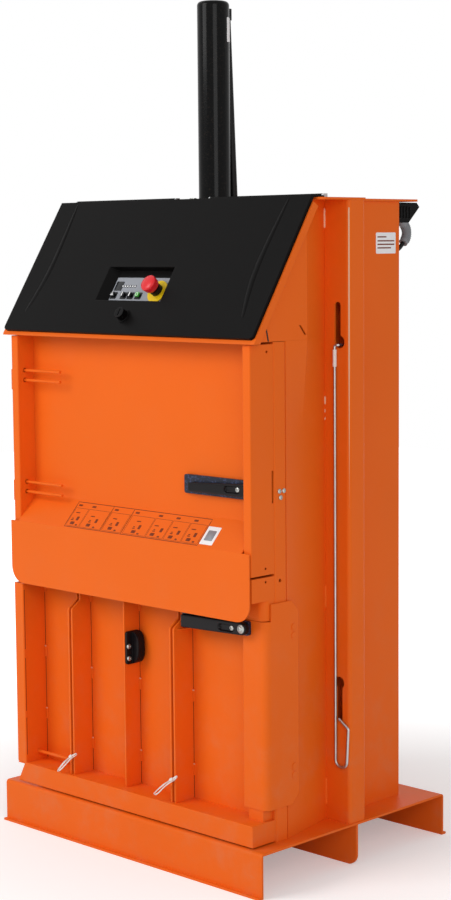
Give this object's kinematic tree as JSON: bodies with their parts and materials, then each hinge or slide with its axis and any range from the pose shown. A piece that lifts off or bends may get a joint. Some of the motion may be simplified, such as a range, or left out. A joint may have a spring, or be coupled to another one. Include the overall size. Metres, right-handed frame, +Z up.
{
  "type": "baling press",
  "caption": "Upright hydraulic baling press with fork pockets, an upper loading door with chute, a lower bale door, a tilting control hood and a press plate.",
  "frame": {"origin": "centre of the base's footprint on the floor", "axes": "+X right as seen from the doors, +Y from the doors to the back, +Z up"},
  "size_m": [0.865, 0.654, 1.965],
  "materials": {
    "orange_paint": "satin powder coat",
    "black_shell": "fine grained",
    "black_gloss": "gloss",
    "black_handle": "moulded",
    "dark_plate": "satin",
    "grey_panel": "smooth",
    "yellow_plate": "smooth",
    "red_button": "smooth",
    "black_button": "smooth",
    "green_button": "smooth",
    "steel": "brushed",
    "chrome_rod": "polished",
    "zinc": "plated",
    "black_rubber": "smooth",
    "white_plastic": "smooth",
    "grey_conduit": "smooth"
  },
  "bodies": {
    "frame": {"base_plate": "orange_paint", "middle_skid": "orange_paint", "left_side_wall": "orange_paint", "right_side_wall": "orange_paint", "left_column": "orange_paint", "right_column": "orange_paint", "left_post": "orange_paint", "right_post": "orange_paint", "left_cheek": "orange_paint", "right_cheek": "orange_paint", "back_wall": "orange_paint", "chamber_floor": "orange_paint", "header_rail": "orange_paint", "chamber_front_plate": "orange_paint", "top_plate": "orange_paint", "door_stop_bracket": "orange_paint", "hinge_lugs": "orange_paint", "hood_hinge_rods": "steel", "cylinder_tube": "black_gloss", "cylinder_hose": "black_rubber", "hose_fittings": "black_gloss", "oil_tank": "black_gloss", "drive_motor": "black_gloss", "plug_housing": "black_shell", "conduit_and_junction": "grey_conduit", "motor_cable": "black_rubber", "casing_screws": "zinc", "top_bolts": "zinc", "tool_rod": "steel", "tool_sleeve": "white_plastic"},
    "hood": {"hood_tray": "orange_paint", "hood_cover": "black_shell", "control_panel": "grey_panel", "stop_plate": "yellow_plate", "stop_collar": "black_button"},
    "stop_push": {"stop_button": "red_button"},
    "first_push": {"first_button": "black_button"},
    "second_push": {"second_button": "black_button"},
    "third_push": {"third_button": "black_button"},
    "start_push": {"start_button": "green_button"},
    "hood_lock": {"lock_knob": "black_gloss"},
    "press": {"piston_rod": "chrome_rod", "press_plate": "orange_paint"},
    "upper_door": {"upper_door_panel": "orange_paint", "upper_door_left_cheek": "orange_paint", "upper_door_right_cheek": "orange_paint", "upper_door_bars": "orange_paint", "upper_handle_plate": "dark_plate"},
    "upper_handle": {"upper_lever": "black_handle", "upper_latch_tongue": "steel"},
    "lower_door": {"lower_door_skin": "orange_paint", "lower_door_channel": "orange_paint", "strap_ribs": "orange_paint", "middle_rib": "orange_paint", "lower_sill": "orange_paint", "latch_cover": "orange_paint", "strap_clip": "black_shell", "lower_handle_plate": "dark_plate"},
    "lower_handle": {"lower_lever": "black_handle", "lower_latch_tongue": "steel"}
  },
  "joints": [
    {"name": "upper_door_hinge", "type": "hinge", "parent": "frame", "child": "upper_door", "pos_m": [-0.411, -0.28, 0.95], "axis": [0, 0, -1], "range_deg": [0, 120]},
    {"name": "lower_door_hinge", "type": "hinge", "parent": "frame", "child": "lower_door", "pos_m": [-0.411, -0.28, 0.35], "axis": [0, 0, -1], "range_deg": [0, 120]},
    {"name": "upper_handle_turn", "type": "hinge", "parent": "upper_door", "child": "upper_handle", "pos_m": [0.347, -0.26, 0.877], "axis": [0, 1, 0], "range_deg": [0, 90]},
    {"name": "lower_handle_turn", "type": "hinge", "parent": "lower_door", "child": "lower_handle", "pos_m": [0.347, -0.27, 0.577], "axis": [0, 1, 0], "range_deg": [-90, 0]},
    {"name": "hood_hinge", "type": "hinge", "parent": "frame", "child": "hood", "pos_m": [0, -0.07677, 1.50937], "axis": [-1, 0, 0], "range_deg": [0, 60]},
    {"name": "stop_button_press", "type": "slide", "parent": "hood", "child": "stop_push", "axis": [0, 0.8439, -0.5365], "range_m": [0, 0.005], "stiffness_N_per_m": 900, "springref_m": -0.001},
    {"name": "first_button_press", "type": "slide", "parent": "hood", "child": "first_push", "axis": [0, 0.8439, -0.5365], "range_m": [0, 0.002], "stiffness_N_per_m": 400, "springref_m": -0.001},
    {"name": "second_button_press", "type": "slide", "parent": "hood", "child": "second_push", "axis": [0, 0.8439, -0.5365], "range_m": [0, 0.002], "stiffness_N_per_m": 400, "springref_m": -0.001},
    {"name": "third_button_press", "type": "slide", "parent": "hood", "child": "third_push", "axis": [0, 0.8439, -0.5365], "range_m": [0, 0.002], "stiffness_N_per_m": 400, "springref_m": -0.001},
    {"name": "start_button_press", "type": "slide", "parent": "hood", "child": "start_push", "axis": [0, 0.8439, -0.5365], "range_m": [0, 0.002], "stiffness_N_per_m": 400, "springref_m": -0.001},
    {"name": "hood_lock_turn", "type": "hinge", "parent": "hood", "child": "hood_lock", "pos_m": [-0.01, -0.2966, 1.25134], "axis": [0, -0.8439, 0.5365], "range_deg": [0, 90]},
    {"name": "press_stroke", "type": "slide", "parent": "frame", "child": "press", "axis": [0, 0, -1], "range_m": [0, 0.52]}
  ]
}
